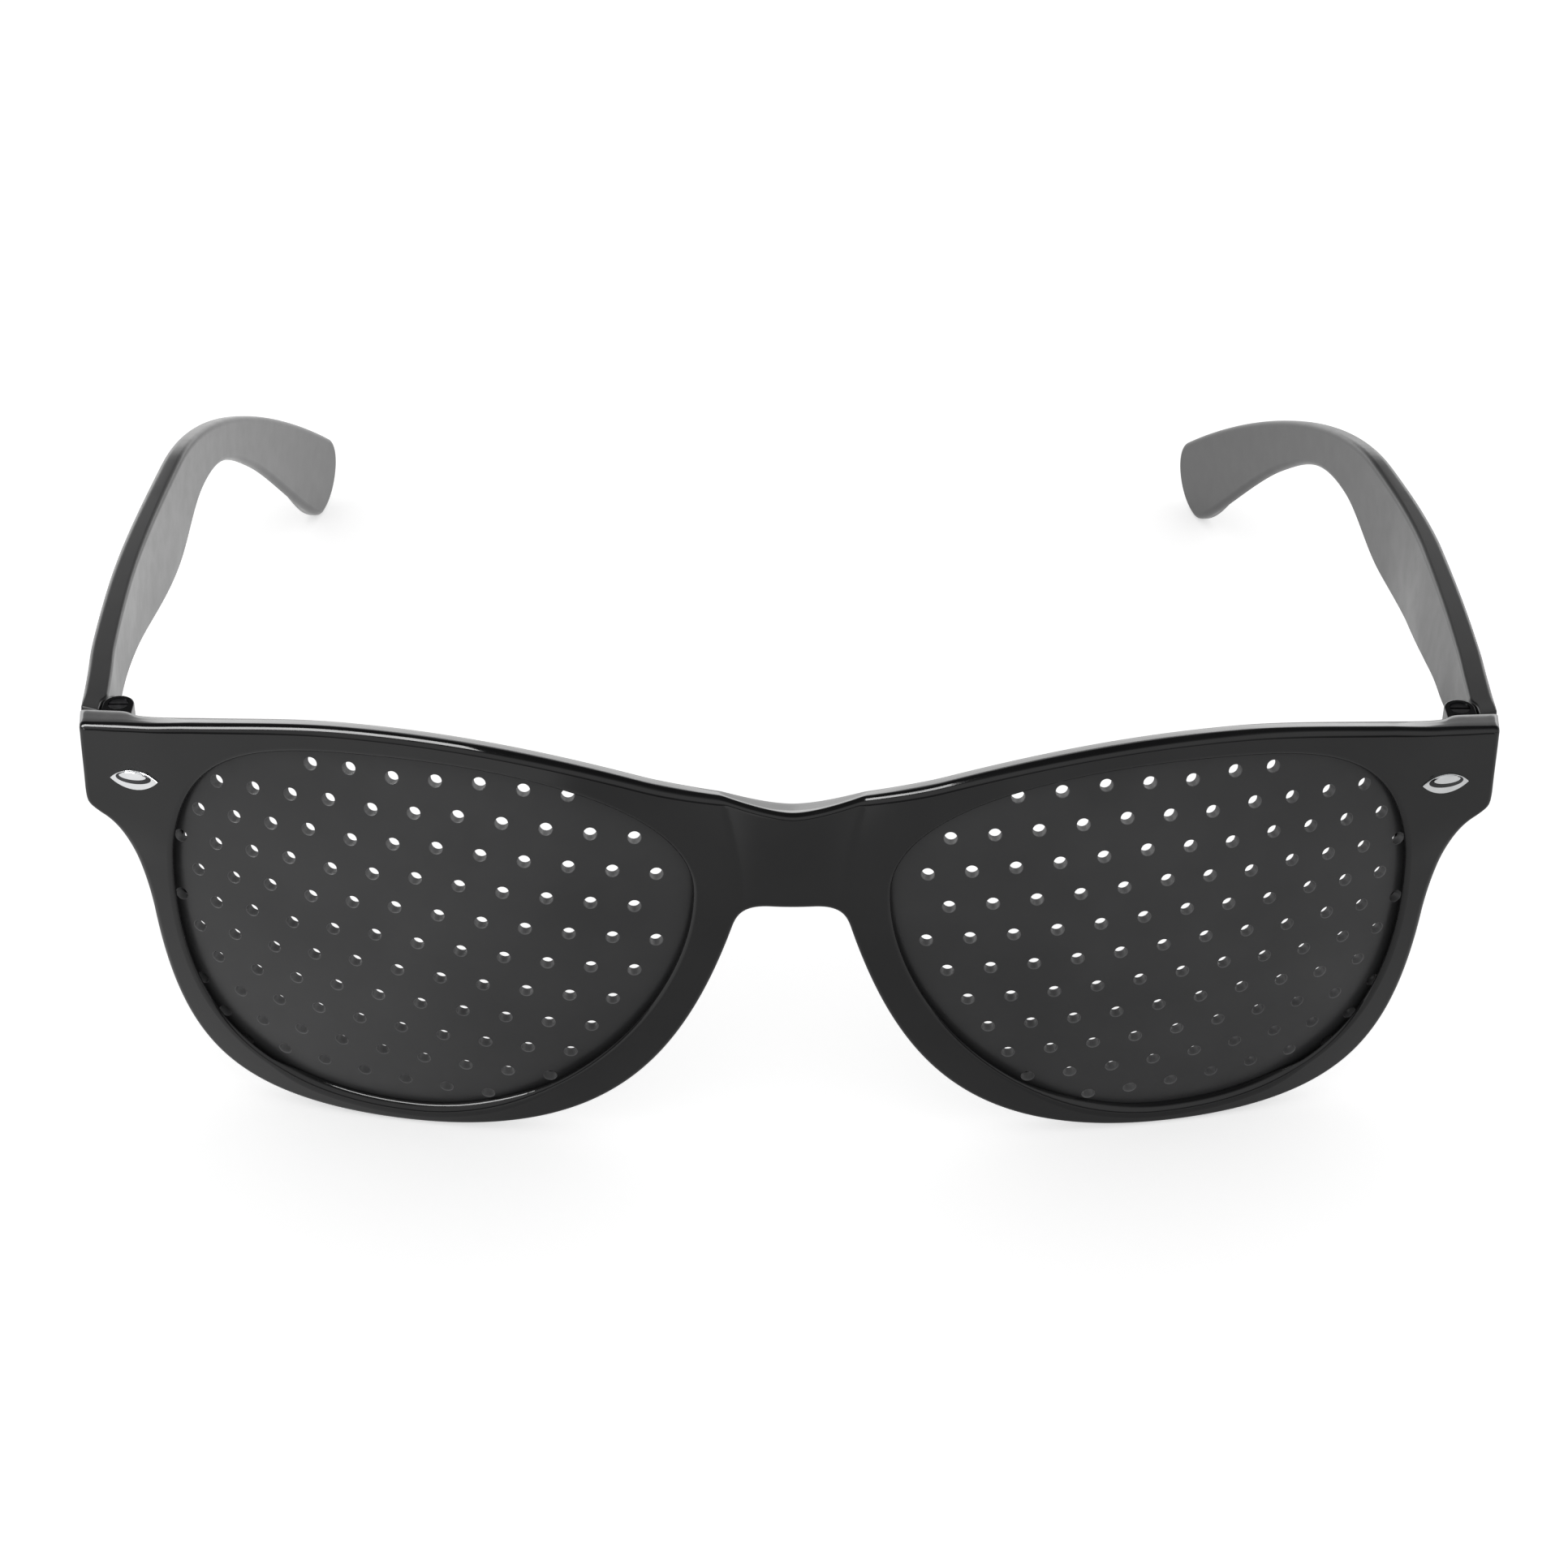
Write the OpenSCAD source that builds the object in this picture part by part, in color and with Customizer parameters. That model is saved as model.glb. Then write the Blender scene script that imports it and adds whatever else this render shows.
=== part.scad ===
// Pinhole glasses: a one-piece moulded front with two perforated lens plates
// snapped into its rims, two folding temples on moulded hinges, two hinge
// screws and two decorative rivets.
// Millimetres.  x runs to the viewer's right, y runs back from the front of
// the glasses, z runs up from the table that the open glasses stand on.
// The glasses stand on both lower rims and on both temple tips.
// The wearer's right is on the -x side.

/* [Front] */
// Width over the two end pieces
frame_w = 146.4; // [140:0.2:152]
// Width of one lens opening
lens_w = 54.1; // [51:0.1:54.5]
// Height of one lens opening
lens_h = 44.6; // [40:0.1:46]
// Gap between the two lens openings at their nearest
bridge_w = 20; // [18:0.1:22]
// Height of the brow above the lens opening
brow_h = 1.6; // [1.4:0.1:2.5]
// Height of the rim below the lens opening
rim_h = 2.2; // [2:0.1:3]
// Thickness of the moulded front
front_t = 3.1; // [2.9:0.1:3.6]
// Radius of the ball-shaped face of each half
face_r = 101; // [95:1:110]
// Distance from the middle of the glasses to each half's foremost point
face_x = 23.8; // [22:0.1:26]

/* [End pieces] */
// Height of the end piece at its outer side
end_h = 8.8; // [8.6:0.1:9.6]
// Thickness of the end piece where the temple butts against it
end_t = 3.4; // [3.2:0.1:3.9]
// Width of this thicker part
block_w = 5.5; // [5.3:0.1:6.5]

/* [Lens plates] */
// Depth of the lens plate behind the face of the front
lens_sunk = 1.2; // [1.1:0.1:1.4]
// Thickness of the lens plate
lens_t = 1.2; // [0.9:0.1:1.3]
// How far the plate reaches into the groove of the rim
lens_lap = 0.75; // [0.6:0.05:0.9]
// Diameter of a pinhole
hole_d = 1.35; // [1.1:0.05:1.5]
// Distance between pinholes along a row
hole_step = 4.47; // [4.3:0.01:4.6]
// The same distance in the last columns before the end piece
hole_step_out = 4.11; // [4:0.01:4.6]
// Drop from one row of pinholes to the next
row_drop = 3.7; // [3.6:0.05:3.8]

/* [Hinges] */
// Distance of the hinge axis from the outer side of the temple
axis_in = 3.3; // [3.2:0.1:3.6]
// Distance of the hinge axis behind the end piece
axis_back = 2.3; // [2.2:0.05:2.6]
// Radius of the hinge lugs
lug_r = 1.65; // [1.55:0.05:1.8]
// Height of one hinge lug
lug_h = 1.95; // [1.8:0.05:2]
// Gap between two lugs
lug_gap = 0.15; // [0.12:0.01:0.2]
// Diameter of the screw shank
screw_d = 1.2; // [1.1:0.05:1.3]
// Diameter of the screw head
screw_head_d = 2.1; // [2:0.05:2.4]

/* [Temples] */
// Distance from the end piece to the back of the temple tip
temple_l = 126.4; // [122:0.2:130]
// Thickness of the temple
temple_t = 2.7; // [2.5:0.1:3]
// Height of the temple at the end piece
temple_h = 7.8; // [7.6:0.1:8.2]
// How far the temple bows outwards before its bend
temple_bow = 1.9; // [1.4:0.1:2.6]
// How far the tip of the wearer's right temple curls inwards
curl_right = 11; // [9:0.5:18]
// How far the tip of the wearer's left temple curls inwards
curl_left = 16; // [9:0.5:18]

/* [Rivets] */
// Length of the rivet head
rivet_w = 6.2; // [5.6:0.1:6.6]
// Height of the rivet head
rivet_h = 2.1; // [1.9:0.1:2.4]
// Diameter of the rivet shank
rivet_d = 1.4; // [1.2:0.1:1.6]

/* [Hidden] */
$fn = 96;
eps = 0.01;
hw = frame_w / 2;

// The lens opening, from the datum line at the height of the eyes.
lens_in = bridge_w / 2;
lens_out = lens_in + lens_w;
lens_mid = lens_in + 0.565 * lens_w;
lens_top = 0.525 * lens_h;
lens_low = lens_top - lens_h;
// Where the opening is widest and where it is nearest the nose.
wide_z = 5;
nose_z = 9;
// How square each corner of the opening is, as handle lengths of its curves.
out_top = [13.5, 16];
in_top = [8.5, 17];
in_low = [13.5, 15.5];
out_low = [17, 17];

// The outer outline of the front, in the same heights.
crest_z = lens_top + brow_h;
low_z = lens_low - rim_h;
datum = -low_z;
dip_z = crest_z - 9.2;
end_top = crest_z - 4.1;
end_low = end_top - end_h;
under_z = dip_z - 8.8;
crest_x = lens_mid + 1.5;
low_x = lens_mid + 0.5;
side_x = lens_out + 2.5;

// The flat end piece carries on where the ball-shaped rim leaves off.
end_x = lens_out - 2;
end_z = end_top - 4.9;
ball_y = sqrt(pow(face_r, 2) - pow(end_x - face_x, 2) - pow(end_z, 2));
end_y = face_r - ball_y;
// Angles of its face: back towards the temple, and back towards the top.
sweep = atan((end_x - face_x) / ball_y);
lean = atan(end_z / sqrt(pow(ball_y, 2) + pow(end_x - face_x, 2)));
butt_y = end_y + tan(sweep) * (hw - end_x) + end_t + 0.1;
proud = 0.05;
// The rivet sits a set distance from the outer side, clear of the groove.
rivet_in = 5.2;
rivet_clear = 0.3;
shank_x = lens_out + lens_lap + rivet_d / 2 + rivet_clear;
rivet_at = [max(hw - rivet_in, shank_x) - end_x, 0.2];

// Hinge.
axis_x = hw - axis_in;
axis_y = butt_y + axis_back;
lug_top = end_top + datum - 0.75;
run = 0.05;
clear_r = lug_r + 0.3;
head_h = 0.7;

// Temple.
gap_y = 0.3;
temple_y = butt_y + 0.45;
tip_y = butt_y + temple_l;
bow_y = butt_y + 41;
top_z = end_top + datum - 0.5;
// How late each tip starts its curl; the two tips are bent by hand.
turn_right = 2.1;
turn_left = 1.6;

// Depth of the foremost point of the bridge, and the shift that puts the
// middle of the footprint over the origin.
fore_y = 0.43;
shift_y = -(tip_y + fore_y) / 2;

// Pinholes: the arc position of the (0, 0) hole, the rise along a row, the
// jump of each row between its inner and outer columns, the slant from row
// to row, and the inner columns that keep the wide step.
hole_at = [12.29, 13.07];
row_rise = 0.55;
row_jump = 0.5;
row_slant = 2.29;
inner_cols = 3;

black = [0.09, 0.09, 0.1];
plate = [0.2, 0.2, 0.21];
steel = [0.78, 0.79, 0.8];

// Points of one smooth curve from a to d with handles b and c, without d.
function curve(a, b, c, d, n) =
  [for (i = [0 : n - 1]) let (t = i / n, u = 1 - t)
    u * u * u * a + 3 * u * u * t * b + 3 * u * t * t * c + t * t * t * d];

// A closed outline moved outwards by d, for an outline that runs clockwise.
function grown(p, d) =
  [for (i = [0 : len(p) - 1])
    let (a = p[(i + len(p) - 1) % len(p)], b = p[(i + 1) % len(p)])
    let (t = (b - a) / norm(b - a))
    p[i] + d * [-t[1], t[0]]];

// The opening of the right-hand rim in front view, clockwise from the side.
function lens_outline(n = 12) =
  let (o = [lens_out, wide_z], i = [lens_in, nose_z])
  let (t = [lens_mid + 0.5, lens_top], b = [lens_mid - 0.5, lens_low])
  concat(
    curve(o, o - [0, out_low[0]], b + [out_low[1], 0], b, n),
    curve(b, b - [in_low[1], 0], i - [0, in_low[0]], i, n),
    curve(i, i + [0, in_top[0]], t - [in_top[1], 0], t, n),
    curve(t, t + [out_top[1], 0], o + [0, out_top[0]], o, n));

// The right half of the front in front view, clockwise from the top middle.
function front_outline(n = 12) =
  let (top = [0, dip_z], crest = [crest_x, crest_z])
  let (corner = [hw - 0.1, end_top], foot = [hw - 0.35, end_low])
  let (side = [side_x, 1], low = [low_x, low_z])
  let (nose = [lens_in - 4, under_z - 2.6], under = [2.2, under_z])
  concat(
    curve(top, top + [4, 0], crest - [22, 0], crest, n),
    curve(crest, crest + [9, 0], corner + [-12, 2.6], corner + [-1.1, 0.2], n),
    curve(corner + [-1.1, 0.2], corner, corner, corner + [-0.05, -1.1], 3),
    curve(foot + [0.1, 1.6], foot, foot, foot + [-1.5, -0.8], 4),
    curve(foot + [-1.5, -0.8], side + [2.2, 9.3], side + [0.6, 5.5], side, 8),
    curve(side, side - [1.6, 19], low + [19, 0], low, n),
    curve(low, low - [19, 0], nose + [6.5, -20.7], nose, n),
    curve(nose, nose + [-0.6, 1.8], under + [2, 0], under, 4),
    [under, [-eps, under_z]],
    [[-eps, dip_z]]);

// Side view of a temple as [y, z], clockwise from its upper front corner.
function temple_outline(n = 10) =
  let (y0 = temple_y, z0 = top_z, k = tip_y)
  let (bend = [y0 + 62.6, z0 - 4.4], shoulder = [k - 1.6, 9.3])
  let (toe = [k - 6.5, 0], heel = [k - 31.5, 21], arch = [k - 54.7, 30.3])
  let (belly = [k - 69.6, 28], neck = [y0 + 22.6, z0 - temple_h - 1.6])
  concat(
    [[y0 - 1.6, z0 - 0.1]],
    curve([y0 + 0.6, z0], [y0 + 20, z0 - 1.2], bend - [18, -1.4], bend, n),
    curve(bend, bend + [18, -1.4], shoulder - [17, -13.3], shoulder, n),
    curve(shoulder, shoulder + [3.4, -3], toe + [5.5, 0], toe, n),
    curve(toe, toe - [3, 0], heel + [9.6, -7], heel, n),
    curve(heel, heel + [-8, 5.8], arch + [10, 0], arch, 8),
    curve(arch, arch - [5, 0], belly + [6, 0], belly, 6),
    curve(belly, belly - [10, 0], neck + [12, -2.4], neck, 8),
    curve(neck, neck + [-6, 1.2], [y0 + 7.6, z0 - temple_h],
      [y0, z0 - temple_h], 4),
    [[y0 - 1.6, z0 - temple_h]]);

// Puts a module drawn on the +x side on the side that s names, and over
// the origin of the whole part.
module seat(s) {
  translate([0, shift_y, 0])
    mirror([s < 0 ? 1 : 0, 0, 0])
      children();
}

// Front view outline drawn through the full depth of the glasses.
module through(outline, back = 30) {
  translate([0, back, datum])
    rotate([90, 0, 0])
      linear_extrude(back + 4)
        polygon(outline);
}

// Ball-shaped shell between two depths behind the face.
module shell(from, to) {
  difference() {
    translate([face_x, face_r, datum])
      sphere(face_r - from, $fn = 240);
    translate([face_x, face_r, datum])
      sphere(face_r - to, $fn = 240);
  }
}

// Everything behind the flat face of the end piece, down to depth d.  The
// face stands a little proud of the ball that it carries on.
module end_slab(d) {
  translate([end_x, end_y, datum + end_z])
    rotate([0, 0, sweep])
      rotate([-lean, 0, 0])
        translate([-30, -proud, -40])
          cube([60, d, 80]);
}

// Rim of one half: the outline cut from the ball-shaped shell.
module half_rim() {
  intersection() {
    through(front_outline());
    shell(0, front_t);
    union() {
      translate([-1, -5, -1])
        cube([end_x + 2, 40, 2 * datum + 10]);
      translate([-1, -5, -1])
        cube([hw, 40, datum + end_low + 1]);
    }
  }
}

// Flat end piece, thicker in its outer part that the temple butts against.
module end_piece() {
  intersection() {
    through(front_outline());
    end_slab(end_t - 0.3);
    translate([end_x, -5, datum + end_low - 1])
      cube([40, 40, end_h + 10]);
  }
  intersection() {
    through(front_outline());
    end_slab(end_t);
    translate([hw - block_w, -5, datum + end_low - 1])
      cube([40, 40, end_h + 10]);
  }
}

// One lug about the hinge axis, rooted in the end piece in front of it.
module front_lug(low) {
  root = end_t - 0.8;
  translate([axis_x, axis_y, low])
    cylinder(h = lug_h, r = lug_r);
  translate([axis_x - lug_r, butt_y - root, low])
    cube([2 * lug_r, axis_back + root, lug_h]);
}

// Nose pad: a low round swelling on the back of the rim beside the nose.
module nose_pad() {
  pad_r = 12;
  pad_h = 2.4;
  intersection() {
    through(front_outline());
    shell(front_t - 0.5, front_t + 10);
    translate([lens_in - 3.2, front_t + pad_h + 1.2 - pad_r, datum - 1.5])
      sphere(pad_r, $fn = 120);
  }
}

// The raised middle of the bridge, a round-faced block set between the rims.
module bridge() {
  bridge_r = 26;
  intersection() {
    union() {
      through(front_outline());
      mirror([1, 0, 0])
        through(front_outline());
    }
    translate([-9, 0, 0])
      cube([18, front_t + 3, 2 * datum]);
    translate([0, bridge_r + 1.75, datum + 12])
      rotate([-4.3, 0, 0])
        difference() {
          cylinder(h = 60, r = bridge_r, center = true);
          cylinder(h = 61, r = bridge_r - front_t, center = true);
        }
  }
}

// Groove for the lens plate with the window before and behind it.
module lens_cut() {
  through(lens_outline());
  intersection() {
    through(grown(lens_outline(), lens_lap + 0.03));
    shell(lens_sunk - 0.02, lens_sunk + lens_t + 0.02);
  }
}

// Head and shank of a rivet, drawn in the plane of the end piece face.
module rivet_body() {
  r = (pow(rivet_w, 2) + pow(rivet_h, 2)) / (4 * rivet_h);
  dome_r = 7.5;
  dome_h = 0.7;
  intersection() {
    linear_extrude(2)
        intersection() {
          translate([0, rivet_h / 2 - r])
            circle(r);
          translate([0, r - rivet_h / 2])
            circle(r);
        }
    translate([0, 0, dome_h - dome_r])
      sphere(dome_r, $fn = 120);
  }
  translate([0, 0, -2.4])
    cylinder(h = 2.5, d = rivet_d);
}

// Places a drawing made in the x-y plane on the face of the end piece.
module on_end_piece() {
  translate([end_x, end_y, datum + end_z])
    rotate([0, 0, sweep])
      rotate([-lean, 0, 0])
        translate([rivet_at[0], -proud, rivet_at[1]])
          rotate([90, 0, 0])
            children();
}

// Bore for the rivet shank.
module rivet_bore() {
  on_end_piece()
    translate([0, 0, -2.5])
      cylinder(h = 4, d = rivet_d);
}

module front_frame() {
  color(black)
    difference() {
      union() {
        for (s = [-1, 1])
          seat(s) {
            difference() {
              union() {
                half_rim();
                end_piece();
                nose_pad();
                front_lug(lug_top - lug_h);
                front_lug(lug_top - 3 * lug_h - 2 * lug_gap);
              }
              lens_cut();
              rivet_bore();
            }
          }
        translate([0, shift_y, 0])
          bridge();
      }
      for (s = [-1, 1])
        seat(s)
          translate([axis_x, axis_y, lug_top - 3 * lug_h - 2])
            cylinder(h = 3 * lug_h + 4, d = screw_d);
      for (s = [-1, 1])
        seat(s)
          translate([axis_x, axis_y, lug_top - head_h])
            cylinder(h = 2, d = screw_head_d);
    }
}

// Arc positions of the pinholes from the foremost point of the half, one
// list entry for each row: row number, first and last column.
rows = [
  [-2, -2, 4],
  [-1, -5, 5],
  [0, -6, 5],
  [1, -7, 4],
  [2, -7, 4],
  [3, -8, 3],
  [4, -8, 2],
  [5, -8, 1],
  [6, -9, 0],
  [7, -9, -1],
  [8, -9, -3]
];
function hole_place(i, j) =
  let (k = i + j, far = max(0, -inner_cols - k), near = max(k, -inner_cols))
  [hole_at[0] - hole_step * near + hole_step_out * far + row_slant * j,
    hole_at[1] - row_rise * near - row_drop * j
      + row_jump * (k >= 0 ? 1 : (k < -1 ? -1.1 : 0))];

module pinhole(at) {
  turn = norm(at) / (face_r - lens_sunk) * 180 / PI;
  translate([face_x, face_r, datum])
    rotate(a = turn, v = [-at[1], 0, at[0]])
      rotate([90, 0, 0])
        translate([0, 0, face_r - lens_sunk - lens_t - 1])
          cylinder(h = lens_t + 2, d = hole_d, $fn = 24);
}

module lens_plate(s) {
  color(plate)
    seat(s)
      difference() {
        intersection() {
          through(grown(lens_outline(), lens_lap));
          shell(lens_sunk, lens_sunk + lens_t);
        }
        for (row = rows)
          for (i = [row[1] : row[2]])
            pinhole(hole_place(i, row[0]));
      }
}

module right_lens() {
  lens_plate(-1);
}

module left_lens() {
  lens_plate(1);
}

// Outer side of a temple at distance y behind the front: it bows outwards up
// to bow_y and then curls inwards.
function temple_x(y, curl, turn) =
  hw - 0.1 + temple_bow - (y < bow_y
    ? temple_bow * pow((bow_y - y) / (bow_y - butt_y), 2)
    : curl * pow((y - bow_y) / (tip_y - bow_y), turn));

// Top view of a temple, which gets a little thinner towards its tip.
function temple_plan(curl, turn, n = 28) =
  let (y0 = temple_y - 2, dy = (tip_y + 1 - y0) / n)
  concat(
    [for (i = [0 : n]) [temple_x(y0 + dy * i, curl, turn), y0 + dy * i]],
    [for (i = [n : -1 : 0])
      [temple_x(y0 + dy * i, curl, turn) - temple_t + 0.5 * i / n,
        y0 + dy * i]]);

module temple(s, curl, turn) {
  mid_low = lug_top - 2 * lug_h - lug_gap;
  color(black)
    seat(s)
      difference() {
        union() {
          intersection() {
            translate([0, 0, -1])
              linear_extrude(70)
                polygon(temple_plan(curl, turn));
            translate([hw - 60, 0, 0])
              rotate([90, 0, 90])
                linear_extrude(80)
                  polygon(temple_outline());
          }
          translate([axis_x, axis_y, mid_low])
            cylinder(h = lug_h, r = lug_r);
          translate([axis_x, axis_y, mid_low])
            linear_extrude(lug_h)
              polygon([[-lug_r, 0], [-lug_r, 0.4], [1.1, 4.6], [lug_r, 4.6],
                [lug_r, 0]]);
        }
        // Its end is cut parallel to the end piece, a gap behind it.
        end_slab(end_t + gap_y);
        // Room for the lugs of the front, above and below the middle lug.
        for (z = [mid_low + lug_h, mid_low - 20])
          translate([axis_x, axis_y, z]) {
            cylinder(h = 20, r = clear_r);
            translate([-20, -20, 0])
              cube([20 + clear_r, 20, 20]);
          }
        // Room for the end of the front between its lugs.
        translate([axis_x - 20, axis_y - 20, mid_low - eps])
          difference() {
            cube([20 + clear_r, 20, lug_h + 2 * eps]);
            translate([20, 20, -1])
              cylinder(h = 5, r = lug_r);
          }
        translate([axis_x, axis_y, mid_low - 1])
          cylinder(h = lug_h + 2, d = screw_d + 2 * run);
      }
}

module right_temple() {
  temple(-1, curl_right, turn_right);
}

module left_temple() {
  temple(1, curl_left, turn_left);
}

// Screw with a slotted head, held in the lugs of the front.
module hinge_screw(s) {
  color(steel)
    seat(s)
      translate([axis_x, axis_y, lug_top])
        difference() {
          union() {
            translate([0, 0, -head_h])
              cylinder(h = head_h - 0.1, d = screw_head_d);
            translate([0, 0, -3 * lug_h - 2 * lug_gap + 0.2])
              cylinder(h = 3 * lug_h + 2 * lug_gap - 0.5, d = screw_d);
          }
          translate([-2, -0.15, -0.35])
            cube([4, 0.3, 1]);
        }
}

module right_hinge_screw() {
  hinge_screw(-1);
}

module left_hinge_screw() {
  hinge_screw(1);
}

module rivet(s) {
  color(steel)
    seat(s)
      on_end_piece()
        rivet_body();
}

module right_rivet() {
  rivet(-1);
}

module left_rivet() {
  rivet(1);
}

front_frame();
right_lens();
left_lens();
right_temple();
left_temple();
right_hinge_screw();
left_hinge_screw();
right_rivet();
left_rivet();
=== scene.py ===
"""Looks of the pinhole glasses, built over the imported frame.

Lengths in this script are millimetres until a mesh is made.  x runs to the
viewer's right, y runs back from the foremost point of the front, and z is the
height over the line through the middle of the lens openings.  The wearer's
right is on the -x side.  Lamps, floor and world use metres.
"""
import math

import bpy
import numpy as np
from mathutils import Matrix, Vector
from mathutils.geometry import delaunay_2d_cdt
from mathutils.kdtree import KDTree


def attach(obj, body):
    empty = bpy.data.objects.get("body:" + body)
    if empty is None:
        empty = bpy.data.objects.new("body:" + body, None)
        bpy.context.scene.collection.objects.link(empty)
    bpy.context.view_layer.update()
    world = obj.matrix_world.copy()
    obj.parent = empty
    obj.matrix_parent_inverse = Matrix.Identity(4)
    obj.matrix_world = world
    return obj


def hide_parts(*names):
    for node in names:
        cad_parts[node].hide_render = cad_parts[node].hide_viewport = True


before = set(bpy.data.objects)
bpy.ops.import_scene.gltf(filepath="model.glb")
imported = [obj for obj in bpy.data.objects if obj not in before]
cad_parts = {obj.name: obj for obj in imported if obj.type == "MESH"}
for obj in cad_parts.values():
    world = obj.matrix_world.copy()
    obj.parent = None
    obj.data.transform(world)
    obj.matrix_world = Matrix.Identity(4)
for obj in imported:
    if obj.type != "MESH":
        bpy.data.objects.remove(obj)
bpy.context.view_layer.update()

# ---------------------------------------------------------------- sizes
HALF_W = 73.2                 # middle to the outer side of an end piece
FACE_R, FACE_X = 101.0, 23.8  # ball-shaped face of each half
FRONT_T, END_T = 3.1, 3.35    # thickness of the rims and of the end pieces
LENS_IN, LENS_OUT = 10.0, 64.1
LENS_MID = LENS_IN + 0.565 * (LENS_OUT - LENS_IN)
LENS_TOP, LENS_LOW = 23.415, -21.185
LENS_SUNK, LENS_T, LENS_LAP = 1.2, 1.2, 0.75
LENS_PLAY = 0.03              # play of a plate in its groove, front and back
CREST_Z, LOW_Z = LENS_TOP + 1.6, LENS_LOW - 2.2
DIP_Z = CREST_Z - 9.2
UNDER_Z = DIP_Z - 8.8
END_TOP = CREST_Z - 4.1
END_LOW = END_TOP - 8.8
SIDE_X = LENS_OUT + 2.5
END_X, END_Z = LENS_OUT - 2.0, END_TOP - 4.9
END_Y = FACE_R - math.sqrt(FACE_R**2 - (END_X - FACE_X) ** 2 - END_Z**2)
SWEEP = math.atan((END_X - FACE_X) / (FACE_R - END_Y))
LEAN = math.asin(END_Z / FACE_R)
PROUD = 0.05                  # how far the flat end piece stands off the ball
BUTT_Y = END_Y + math.tan(SWEEP) * (HALF_W - END_X) + FRONT_T + 0.4
AXIS_X, AXIS_Y = HALF_W - 3.3, BUTT_Y + 2.3
LUG_R, LUG_H, LUG_GAP = 1.65, 1.95, 0.15
LUG_TOP = END_TOP - 0.75
LUG_MID = LUG_TOP - 2 * LUG_H - LUG_GAP       # foot of the temple's lug
LUG_FOOT = LUG_TOP - 3 * LUG_H - 2 * LUG_GAP  # foot of the lowest lug
HOLLOW_R = 1.78               # hollow in a temple for the hinge lugs
SCREW_SEAT = (1.08, 0.7)      # radius and depth
TEMPLE_Y, TIP_Y, BOW_Y = BUTT_Y + 0.45, BUTT_Y + 126.4, BUTT_Y + 41.0
TEMPLE_TOP = END_TOP - 0.5
TEMPLE_H, TEMPLE_T, BOW = 7.8, 2.7, 1.9
TEMPLE_GAP = 0.15             # between a temple and its end piece
# Curl of the tip, how late the curl starts, bulge outwards, and how much the
# lower edge leans in per millimetre of height: the arms are bent by hand.
ARM_SHAPES = {"right": (11.0, 2.1, 0.6, -0.02), "left": (16.0, 1.6, 0.42, 0.10)}
RIVET_W, RIVET_H = 5.7, 2.15
RIVET_IN = 5.45               # outer side of the front to the rivet's middle
RIVET_UP = 0.2                # its middle over the end piece's
RIVET_TURN = math.radians(7.2)
DATUM = -LOW_Z
SHIFT_Y = -(TIP_Y + 0.43) / 2
SIDES = ((-1, "right"), (1, "left"))          # sign of x and wearer's side

# Spacing of mesh points, and segments of round shapes
RIM_STEP, LENS_STEP, TEMPLE_STEP = 0.3, 0.35, 0.45
BRIDGE_GRID, RIM_GRID, PLATE_GRID = 0.42, 0.95, 1.3
TEMPLE_GRID, HOLLOW_GRID, RIVET_GRID = 0.9, 0.22, 0.3
HOLE_SEGMENTS, SEAT_SEGMENTS, BOSS_SEGMENTS = 24, 32, 48
ROW_SHARE = 0.866             # height of a grid's row, in steps


def place(p):
    """Millimetres from the foremost point to metres in the part's frame."""
    p = np.asarray(p, float)
    return (p + np.array([0.0, SHIFT_Y, DATUM])) * 0.001


# ------------------------------------------------------------- outlines
def curve(a, b, c, d, n=40):
    """Points of one cubic curve from a to d, without d."""
    t = (np.arange(n) / n)[:, None]
    a, b, c, d = (np.asarray(q, float) for q in (a, b, c, d))
    return ((1 - t) ** 3 * a + 3 * (1 - t) ** 2 * t * b
            + 3 * (1 - t) * t**2 * c + t**3 * d)


def resampled(p, step):
    """The same closed outline with evenly spaced points."""
    q = np.vstack([p, p[:1]])
    s = np.r_[0, np.cumsum(np.hypot(*np.diff(q, axis=0).T))]
    n = max(4, int(round(s[-1] / step)))
    t = np.linspace(0, s[-1], n + 1)[:-1]
    return np.stack([np.interp(t, s, q[:, k]) for k in (0, 1)], 1)


def normals(p):
    """Unit normals to the left of the direction of travel."""
    t = np.roll(p, -1, 0) - np.roll(p, 1, 0)
    t /= np.linalg.norm(t, axis=1)[:, None]
    return np.stack([-t[:, 1], t[:, 0]], 1)


def mirrored(p):
    """The outline on the other side, with the same direction of travel."""
    return (p * (-1, 1))[::-1]


def lens_outline():
    """Lens opening on the +x side, clockwise from its outer side."""
    o, i = (LENS_OUT, 5.0), (LENS_IN, 9.0)
    t, b = (LENS_MID + 0.5, LENS_TOP), (LENS_MID - 0.5, LENS_LOW)
    p = np.vstack([
        curve(o, (o[0], o[1] - 17), (b[0] + 17, b[1]), b),
        curve(b, (b[0] - 15.5, b[1]), (i[0], i[1] - 13.5), i),
        curve(i, (i[0], i[1] + 8.5), (t[0] - 17, t[1]), t),
        curve(t, (t[0] + 13.5, t[1]), (o[0], o[1] + 16), o)])
    return resampled(p, LENS_STEP)


def plate_outline(l, more=0.0):
    """Opening outline l moved out to the plate's edge, farther out by the
    last pinholes of the lower rows."""
    x, z = np.abs(l[:, 0]), l[:, 1]
    wide = smooth_step((x - 51) / 4.0) * smooth_step((-z - 10) / 4.0)
    return l + normals(l) * (LENS_LAP + 0.55 * wide + more)[:, None]


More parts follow.
